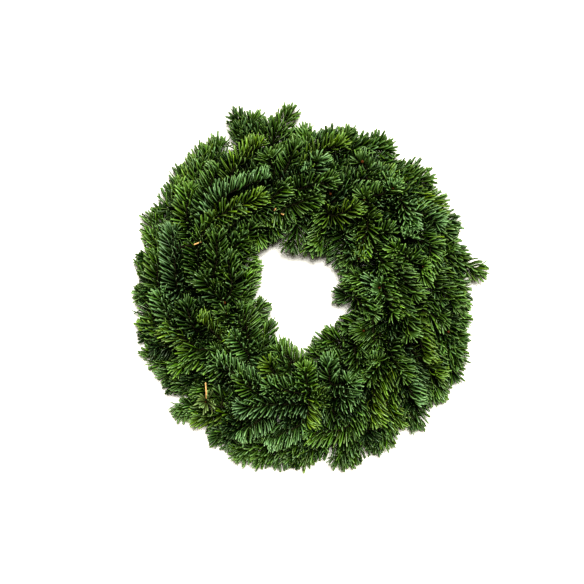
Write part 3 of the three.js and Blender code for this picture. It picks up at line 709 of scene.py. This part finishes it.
def add_side_shoots(zone, sprays):
    carriers = []
    for spray in sprays:
        carriers.append((spray, spray["stem"], BUTT_LENGTH + TIE_EXIT, spray["stem"].length))
        for path in [shoot["path"] for shoot in spray["shoots"]]:
            carriers.append((spray, path, SIDE_START, path.length * SIDE_SHARE))
    for shoot in shoots_of(SIDE_SHOOTS[zone], SIDE_TONES[zone], SIDE_SHELLS[zone]):
        base, tip = shoot["base"], shoot["tip"]
        distance, foot, spray = nearest_foot(base, carriers, SIDE_TRIES)
        points = [foot, base, tip] if distance > SIDE_REACH else [foot, tip]
        shoot["path"], shoot["bare"] = Path(catmull_rom(points)), SIDE_BARE
        spray["side_shoots"].append(shoot)


def add_spurs(zone, sprays):
    carriers = [
        (spray, shoot["path"], 0, shoot["path"].length)
        for spray in sprays
        for shoot in spray["shoots"] + spray["side_shoots"]
    ]
    for *numbers, kind in SPURS[zone]:
        base, tip = ends_of(numbers)
        _, foot, spray = nearest_foot(base, carriers, SPUR_TRIES)
        spray["spurs"].append((foot, base, tip, kind))


# ---- sprays


def add_bark(builder, path, bark):
    """The bark of a whole stem or shoot."""
    radii, sides = bark
    s = np.arange(0, path.length, BARK_STEP)
    tube(builder, path.point(s), np.interp(s, [0, path.length], radii), sides, BARK)


def add_stretch(builder, path, start, stop, bark, rings, material=BARK):
    """A stretch of a twig, of bark or of wood."""
    radii, sides = bark
    points = path.point(np.linspace(start, stop, rings))
    tube(builder, points, np.linspace(*radii, rings), sides, material)


def add_bud(builder, tip, along, lengths, rng):
    """An ovoid bud with overlapping scales on a tip."""
    size = rng.uniform(*lengths)
    t = np.linspace(0, 1, BUD_RINGS)
    profile = np.sin(np.pi * (0.12 + 0.88 * t) ** 0.85) ** 0.8 * (1 - 0.25 * t)
    scales = 1 + BUD_SCALES * (np.arange(BUD_RINGS) % 2)
    radii = size * BUD_GIRTH * np.maximum(profile, BUD_POINT) * scales
    points = tip - along * BUD_SUNK + along * (t * size)[:, None]
    side = unit(np.cross(along, ASKEW))
    tube(builder, points, radii, BUD_SIDES, BUD, rng.uniform(*BUD_TINTS), side)


def add_spur(builder, foot, base, tip, kind, rng):
    """A short bare twig that leaves its shoot and ends in a bud or in peeled, cut wood."""
    curve = Path(catmull_rom([foot, base, tip]))
    if kind == "bud":
        add_stretch(builder, curve, 0, curve.length, SPUR_BARK, SPUR_RINGS)
        add_bud(builder, tip, unit(tip - base), SPUR_BUD, rng)
    else:
        peeled = curve.length - np.linalg.norm(tip - base)
        add_stretch(builder, curve, 0, peeled + 1, PEELED_BARK, SPUR_RINGS)
        add_stretch(builder, curve, peeled, curve.length, PEELED_WOOD, PEELED_RINGS, CUT)


def brush_direction(zone, point, rng):
    rise, out = BRUSH[zone][:2]
    direction = unit(rise * UP + out * outwards_at(point))
    return unit(direction + BRUSH_TILT * rng.uniform(-1, 1, 3) * TILT_SHARES)


def bristle(builder, path, start, look, rng):
    """Needles round a twig from `start` to its end, brushed towards look["up"]."""
    stop = path.length
    count = max(int((stop - start) / NEEDLE_SPACING), FEWEST_NEEDLES)
    s = np.linspace(start, stop, count) + rng.uniform(-ROOT_SPREAD, ROOT_SPREAD, count)
    share = (s - start) / max(stop - start, 1)
    young = np.clip(share, 0, 1)
    at, along = path.point(s), path.tangent(s)
    u = unit(look["up"] - (along @ look["up"])[:, None] * along)
    v = np.cross(along, u)
    phi = (np.arange(count) * GOLDEN + rng.uniform(0, TURN)) % TURN - math.pi
    phi = np.sign(phi) * math.pi * look["spread"] * np.abs(phi / math.pi) ** AROUND_POWER
    phi += rng.normal(0, AROUND_SPREAD, count)
    outward = np.cos(phi)[:, None] * u + np.sin(phi)[:, None] * v
    crest = np.clip(np.cos(phi), 0, 1)
    lean = LEAN + (TIP_LEAN - LEAN) * young**3 + rng.normal(0, LEAN_SPREAD, count)
    lean = (lean + TOP_LEAN * crest * (1 - share))[:, None]
    directions = unit(np.cos(lean) * outward + np.sin(lean) * along)
    low_side = (1 - np.cos(phi)) / 2
    side_on = 1 - crest[:, None]
    bends = (BEND_FORWARDS + SIDE_FORWARDS * side_on) * along + side_on * u
    bends = bends + rng.normal(0, PARTING, (count, 1)) * crest[:, None] ** 2 * v
    curled = CURL_UP * u + CURL_FORWARDS * along
    bends = bends + look["curl"] * low_side[:, None] * curled
    whole, part = BEND_SPREADS
    bends = bends * rng.normal(1, whole, (count, 1)) + rng.normal(0, part, (count, 3))
    lengths = NEEDLE_LENGTH * look["length"] * (1 - TIP_SHORTER * young**2)
    lengths *= rng.uniform(*LENGTH_SHARES, count)
    faces = unit(u + FACE_FORWARDS * along + rng.normal(0, FACE_SPREAD, (count, 3)))
    colour, pale = TONES[look["tone"]]
    lightness = (FOOT_TINT + YOUNG_TINT * young) * np.exp(rng.normal(0, TINT_SPREAD, count))
    tints = np.array(colour) * lightness[:, None]
    tints = tints * (1 + rng.normal(0, HUE_SPREAD, (count, 3)))
    pales = np.clip(pale + rng.normal(0, PALE_SPREAD, count), 0, 1)
    add_needles(builder, at + outward, directions, bends, faces, lengths, tints, pales)


def add_tuft(builder, tip, along, look, rng):
    """The steep needles round the bud at the end of a twig."""
    spread, curl = look["tuft"]
    around = (np.arange(TUFT_COUNT) * GOLDEN + rng.uniform(0, TURN)) % TURN - math.pi
    phi = around * spread
    u = unit(look["up"] - look["up"].dot(along) * along)
    v = np.cross(along, u)
    outward = np.cos(phi)[:, None] * u + np.sin(phi)[:, None] * v
    lean = np.radians(rng.uniform(*TUFT_LEAN, TUFT_COUNT))[:, None]
    directions = unit(np.cos(lean) * outward + np.sin(lean) * along)
    bends = curl * u + rng.normal(0, TUFT_BEND_SPREAD, (TUFT_COUNT, 3))
    lengths = NEEDLE_LENGTH * look["length"] * rng.uniform(*TUFT_LENGTHS, TUFT_COUNT)
    faces = unit(-outward + rng.normal(0, TUFT_FACE_SPREAD, (TUFT_COUNT, 3)))
    colour, pale = TONES[look["tone"]]
    lightness = TUFT_TINT * np.exp(rng.normal(0, TUFT_TINT_SPREAD, TUFT_COUNT))
    tints = np.array(colour) * lightness[:, None]
    pales = np.clip(pale + rng.normal(0, TUFT_PALE_SPREAD, TUFT_COUNT), 0, 1)
    roots = tip + outward * TUFT_RADIUS - along
    add_needles(builder, roots, directions, bends, faces, lengths, tints, pales)


def add_shoot(builder, shoot, zone, rng):
    path, tone = shoot["path"], shoot["tone"]
    up = brush_direction(zone, shoot["tip"], rng)
    spread, curl = BRUSH[zone][2:]
    if shoot["brushed"]:
        up = unit(np.array([*shoot["brushed"], SHELL_RISE]))
        curl += SHELL_CURL
    elif tone in SWEPT_TONES:
        side = unit(np.cross(path.tangent(path.length / 2), up))
        roll = rng.choice([-1, 1]) * math.radians(rng.uniform(*SWEPT_ROLL))
        up = unit(up) * math.cos(roll) + side * math.sin(roll)
        curl += SWEPT_CURL
    look = {
        "up": up,
        "spread": 1.0 if tone == STAR_TONE else spread,
        "curl": curl,
        "length": 1.0,
        "tone": tone,
        "tuft": TUFT_SHELL if shoot["brushed"] else TUFT_ROUND,
    }
    add_bark(builder, path, SHOOT_BARK)
    start = path.length - STAR_LENGTH if tone == STAR_TONE else shoot["bare"]
    bristle(builder, path, start, look, rng)
    tip, along = path.end()
    add_tuft(builder, tip, along, look, rng)
    add_bud(builder, tip, along, SHOOT_BUD, rng)


def add_undergrowth(builder, spray, rng):
    """Short side twigs of a stem, which close the wreath between its shoots. Their needles are near
    black: painted shade in the gaps.
    """
    stem, zone = spray["stem"], spray["zone"]
    twigs = UNDERGROWTH[zone] * TWIG_ROUNDS
    for i, (turn, rise) in enumerate(twigs):
        stretch = stem.length - TWIG_START
        s = TWIG_START + stretch * (i + rng.uniform(*TWIG_PLACES)) / len(twigs)
        foot = stem.point(s)
        a = math.radians(turn + rng.uniform(-TWIG_TURN, TWIG_TURN))
        heading = math.cos(a) * clock_tangent(clock_angle(foot)) + math.sin(a) * outwards_at(foot)
        rise += rng.uniform(-TWIG_RISE, TWIG_RISE)
        heading = unit(heading + rise * UP)
        length = rng.uniform(*TWIG_LENGTH)
        end = foot + heading * length
        if not TWIG_REACH[0] < np.linalg.norm(end[:2]) < TWIG_REACH[1]:
            continue
        leave = foot + stem.tangent(s) * TWIG_LEAVE + heading * TWIG_LEAVE
        middle, tip = leave + heading * length * TWIG_MIDDLE, leave + heading * length
        curve = Path(catmull_rom([foot, leave, middle, tip]))
        add_stretch(builder, curve, 0, curve.length, TWIG_BARK, TWIG_RINGS)
        look = dict(TWIG_LOOK, up=brush_direction(zone, foot, rng))
        bristle(builder, curve, TWIG_BARE, look, rng)
        add_tuft(builder, *curve.end(), look, rng)


def declare(piece, node):
    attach(piece, "root")
    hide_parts(node)


def dress(spray, materials, rng):
    """One spray, with its random draws in this order."""
    builder = Builder()
    add_bark(builder, spray["stem"], STEM_BARK)
    for shoot in spray["shoots"] + spray["side_shoots"]:
        add_shoot(builder, shoot, spray["zone"], rng)
    add_undergrowth(builder, spray, rng)
    for foot, base, tip, kind in spray["spurs"]:
        add_spur(builder, foot, base, tip, kind, rng)
    name = f"{spray['zone']}_spray_{spray['k'] + 1:02d}"
    declare(builder.make(f"{name}_foliage", materials), name)


# ---- ring and binding


def ring_points():
    points = []
    start = -CRIMP_HALF - CRIMP_RAMP
    for k in range(STATIONS):
        ahead = np.arange(start, start + TURN * RING_RADIUS / STATIONS, WIRE_STEP)
        ramp = [CRIMP_HALF, CRIMP_HALF + CRIMP_RAMP]
        lift = np.interp(np.abs(ahead), ramp, [0, RING_LOW - RING_HIGH])
        points += [beside_ring(k, a, 0, z) for a, z in zip(ahead, lift)]
    return np.array(points)


def binding_points():
    """The binding's turns at each station, with rounded corners."""
    points = []
    sides = len(BINDING_TURN)
    for k in range(STATIONS):
        for i in range(BINDING_TURNS * sides + 1):
            out, up = BINDING_TURN[i % sides]
            ahead = BINDING_PITCH * (i / sides - BINDING_TURNS / 2)
            points.append(beside_ring(k, ahead, out, up))
    points = np.array(points)
    rounded = []
    for before, at, after in zip(np.roll(points, 1, 0), points, np.roll(points, -1, 0)):
        nearest = [CORNER_SHARE * np.linalg.norm(other - at) for other in (before, after)]
        inset = min(CORNER_INSET, *nearest)
        start, stop = at + unit(before - at) * inset, at + unit(after - at) * inset
        for t in CORNER_STEPS:
            rounded.append((1 - t) ** 2 * start + 2 * t * (1 - t) * at + t**2 * stop)
    return np.array(rounded)


def away_from_ring(points):
    return points - [clock_point(clock_angle(p), RING_RADIUS, RING_HIGH) for p in points]


def add_wire(node, points, size, material, side=UP):
    builder = Builder()
    radius, sides = size
    tube(builder, points, radius, sides, 0, side=side, closed=True)
    declare(builder.make(f"{node}_round", [material]), node)


# ---- materials


def grey(value):
    return (value, value, value)


class Nodes:
    """Short forms for building a material's node tree."""

    def __init__(self, name):
        self.material = bpy.data.materials.new(name)
        self.material.use_nodes = True
        self.tree = self.material.node_tree
        self.shader = self.tree.nodes["Principled BSDF"]

    def new(self, kind, inputs, **settings):
        node = self.tree.nodes.new(kind)
        for key, value in settings.items():
            setattr(node, key, value)
        for key, value in inputs.items():
            if hasattr(value, "node"):
                self.tree.links.new(value, node.inputs[key])
            else:
                node.inputs[key].default_value = value
        return node

    def blade(self):
        """The UVs along and around a needle, a twig or a bud."""
        return self.new("ShaderNodeUVMap", {}, uv_map="blade").outputs[0]

    def stretched(self, coords, scale):
        return self.new("ShaderNodeMapping", {0: coords, 3: scale}).outputs[0]

    def attribute(self, name, output):
        return self.new("ShaderNodeAttribute", {}, attribute_name=name).outputs[output]

    def maths(self, operation, a, b=0.0):
        return self.new("ShaderNodeMath", {0: a, 1: b}, operation=operation).outputs[0]

    def away(self, value, middle):
        return self.maths("ABSOLUTE", self.maths("SUBTRACT", value, middle))

    def times(self, a, b):
        return self.maths("MULTIPLY", a, b)

    def ramp(self, value, stops):
        node = self.new("ShaderNodeValToRGB", {0: value})
        elements = node.color_ramp.elements
        while len(elements) < len(stops):
            elements.new(0.5)
        for element, (position, colour) in zip(elements, stops):
            element.position = position
            element.color = (*colour, 1)
        return node.outputs[0]

    def mix(self, factor, a, b, blend="MIX"):
        inputs = {0: factor, 6: a, 7: b}
        return self.new("ShaderNodeMix", inputs, data_type="RGBA", blend_type=blend).outputs[2]

    def noise(self, scale, detail=2.0, coords=None):
        coords = coords or self.new("ShaderNodeTexCoord", {}).outputs["Object"]
        inputs = {"Vector": coords, "Scale": scale, "Detail": detail}
        return self.new("ShaderNodeTexNoise", inputs).outputs["Fac"]

    def bump(self, height, strength, distance):
        inputs = {"Height": height, "Strength": strength, "Distance": distance}
        self.link(self.new("ShaderNodeBump", inputs).outputs[0], "Normal")

    def link(self, output, socket):
        self.tree.links.new(output, self.shader.inputs[socket])

    def set(self, socket, value):
        self.shader.inputs[socket].default_value = value


# Around a needle: the middle of its lower and of its upper side, and how far from the lower one
# its two pale bands of stomata lie.
LOWER_SIDE = 0.75
UPPER_SIDE = 0.25
BAND_OFFSET = 0.11


def needle_material():
    m = Nodes("fir_needles")
    split = m.new("ShaderNodeSeparateXYZ", {0: m.blade()})
    along, around = split.outputs[0], split.outputs[1]
    tint, pale = m.attribute("tint", "Color"), m.attribute("pale", "Fac")
    # two pale bands under the blade, and a fainter one on top
    off_band = m.away(m.away(around, LOWER_SIDE), BAND_OFFSET)
    off_top = m.away(around, UPPER_SIDE)
    under = m.maths("SUBTRACT", 1.0, m.times(off_band, 14.0))
    over = m.times(m.maths("SUBTRACT", 1.0, m.times(off_top, 8.0)), 0.45)
    band = m.times(m.maths("MAXIMUM", under, over), pale)
    band = m.new("ShaderNodeClamp", {0: band}).outputs[0]
    blotch = m.ramp(m.noise(160.0), [(0.3, grey(0.86)), (0.7, grey(1.14))])
    colour = m.mix(1.0, tint, blotch, "MULTIPLY")
    colour = m.mix(band, colour, (*PALE, 1))
    # towards the tips a paler bluish colour, partly the needles' wax bloom and partly a painted
    # highlight where the tips catch the light
    tip_bloom_and_highlight = m.ramp(along, [(0.4, grey(0)), (0.9, grey(1))])
    colour = m.mix(m.times(tip_bloom_and_highlight, m.times(pale, 0.35)), colour, (*BLOOM_AND_TIP_HIGHLIGHT, 1))
    # painted shade and light: each needle darker at its root, where the brush shades it, and
    # lighter towards its tip, where the light falls
    shade = m.ramp(along, [(0.0, grey(0.4)), (0.45, grey(0.9)), (0.95, grey(1.5))])
    colour = m.mix(1.0, colour, shade, "MULTIPLY")
    ends = m.ramp(along, [(0.0, grey(1)), (0.07, grey(0)), (0.9, grey(0)), (1.0, grey(0.8))])
    colour = m.mix(m.times(ends, 0.5), colour, (*NEEDLE_ENDS, 1))
    m.link(colour, "Base Color")
    m.set("Specular IOR Level", 0.5)
    m.link(m.ramp(m.noise(900.0), [(0.3, grey(0.30)), (0.7, grey(0.44))]), "Roughness")
    m.bump(m.maths("MINIMUM", m.times(off_top, 9), 1.0), 0.5, 0.0002)  # a groove
    return m.material


def bark_material():
    m = Nodes("fir_bark")
    rough = m.noise(4.0, 4.0, m.stretched(m.blade(), (3.0, 2.0, 1.0)))
    furrow, plate, ridge = (0.010, 0.007, 0.004), (0.022, 0.015, 0.007), (0.055, 0.034, 0.014)
    colour = m.ramp(rough, [(0.3, furrow), (0.55, plate), (0.75, ridge)])
    green = m.ramp(m.noise(60.0), [(0.45, grey(0)), (0.65, grey(0.55))])
    m.link(m.mix(green, colour, (*GREEN_BARK, 1)), "Base Color")
    m.set("Roughness", 0.8)
    m.bump(rough, 0.6, 0.0004)
    return m.material


def bud_material():
    m = Nodes("fir_bud")
    scales = m.stretched(m.blade(), (14.0, 8.0, 1.0))
    cell = m.new("ShaderNodeTexVoronoi", {"Vector": scales, "Scale": 1.0}).outputs["Distance"]
    stops = [(0.1, (0.24, 0.125, 0.06)), (0.5, (0.16, 0.07, 0.03)), (0.8, (0.07, 0.03, 0.015))]
    shade = m.ramp(m.noise(90.0), [(0.35, (0.6, 0.6, 0.55)), (0.65, (1.25, 1.15, 0.9))])
    m.link(m.mix(1.0, m.ramp(cell, stops), shade, "MULTIPLY"), "Base Color")
    m.set("Roughness", 0.45)
    m.bump(cell, 0.7, 0.0003)
    return m.material


def cut_material():
    m = Nodes("fir_cut_wood")
    rings = m.noise(700.0, 3.0)
    m.link(m.ramp(rings, [(0.3, (0.54, 0.32, 0.14)), (0.7, (0.76, 0.54, 0.28))]), "Base Color")
    m.set("Roughness", 0.75)
    m.bump(rings, 0.3, 0.0002)
    return m.material


def wire_material(name, enamel, worn):
    """Enamelled wire, worn to the steel where its wear passes `worn`."""
    m = Nodes(name)
    wear = m.noise(220.0, 4.0)
    mask = m.ramp(wear, [(worn, grey(0)), (worn + 0.04, grey(1))])
    shade = m.ramp(m.noise(40.0), [(0.3, grey(0.85)), (0.7, grey(1.1))])
    m.link(m.mix(mask, m.mix(1.0, (*enamel, 1), shade, "MULTIPLY"), (*STEEL, 1)), "Base Color")
    m.link(m.ramp(wear, [(0.3, grey(0.38)), (0.8, grey(0.6))]), "Roughness")
    m.link(mask, "Metallic")
    m.bump(wear, 0.15, 0.0002)
    return m.material


def floor_material():
    m = Nodes("floor_paper")
    grain = m.noise(900.0, 3.0)
    stops = [(0.3, (0.900, 0.888, 0.862)), (0.7, (0.915, 0.903, 0.877))]
    m.link(m.ramp(grain, stops), "Base Color")
    m.set("Roughness", 0.9)
    m.bump(grain, 0.05, 0.0002)
    return m.material


# ---- the wreath

materials = [needle_material(), bark_material(), bud_material(), cut_material()]
ring_enamel = wire_material("ring_enamel", RING_GREEN, 0.66)
binding_enamel = wire_material("binding_enamel", BINDING_GREEN, 0.62)
binding = binding_points()
add_wire("ring_wire", ring_points(), RING_WIRE, ring_enamel)
add_wire("binding_wire", binding, BINDING_WIRE, binding_enamel, away_from_ring(binding))
for order, zone in enumerate(SHOOTS):
    sprays = sprays_of(zone)
    for spray in sprays:
        lay_out(spray)
    add_side_shoots(zone, sprays)
    add_spurs(zone, sprays)
    for spray in sprays:
        dress(spray, materials, np.random.default_rng([order, spray["k"]]))

# ---- floor, light and camera

# In metres, but the view's middle in mm from the middle of the ring.
FLOOR_HALF = 12.0
CAMERA_HEIGHT = 2.5
VIEW_WIDTH = 0.812  # of the picture, at mid height of the wreath
MID_HEIGHT = 0.05
VIEW_MIDDLE = (-12.5, 7.0)
SENSOR_WIDTH = 36.0
KEY_DIRECTION = (0.06, 0.20, 1.0)
KEY_STRENGTH = 3.2
KEY_DEGREES = 17  # how wide the light's disc is
KEY_COLOUR = (1.0, 0.985, 0.955)
WORLD_COLOUR = (1.0, 0.90, 0.80)
WORLD_STRENGTH = 0.17


def make_floor():
    corners = [(x * FLOOR_HALF, y * FLOOR_HALF, 0) for x, y in ((-1, -1), (1, -1), (1, 1), (-1, 1))]
    mesh = bpy.data.meshes.new("floor")
    mesh.from_pydata(corners, [], [(0, 1, 2, 3)])
    mesh.materials.append(floor_material())
    put("floor", mesh)


def make_light():
    light = bpy.data.lights.new("key", "SUN")
    light.energy, light.angle, light.color = KEY_STRENGTH, math.radians(KEY_DEGREES), KEY_COLOUR
    lamp = put("key", light)
    lamp.rotation_mode = "QUATERNION"
    lamp.rotation_quaternion = Vector(KEY_DIRECTION).to_track_quat("Z", "Y")


def make_world():
    world = bpy.data.worlds.new("studio")
    world.use_nodes = True
    background = world.node_tree.nodes["Background"]
    background.inputs["Color"].default_value = (*WORLD_COLOUR, 1)
    background.inputs["Strength"].default_value = WORLD_STRENGTH
    scene.world = world
    scene.view_settings.view_transform = "Standard"
    scene.view_settings.look = "Very High Contrast"


def make_camera():
    x, y, _ = to_row(np.array([*VIEW_MIDDLE, 0]))
    data = bpy.data.cameras.new("camera")
    data.sensor_width = SENSOR_WIDTH
    data.lens = SENSOR_WIDTH * (CAMERA_HEIGHT - MID_HEIGHT) / VIEW_WIDTH
    camera = put("camera", data)
    camera.location = (x, y, CAMERA_HEIGHT)
    scene.camera = camera


make_floor()
make_light()
make_world()
make_camera()
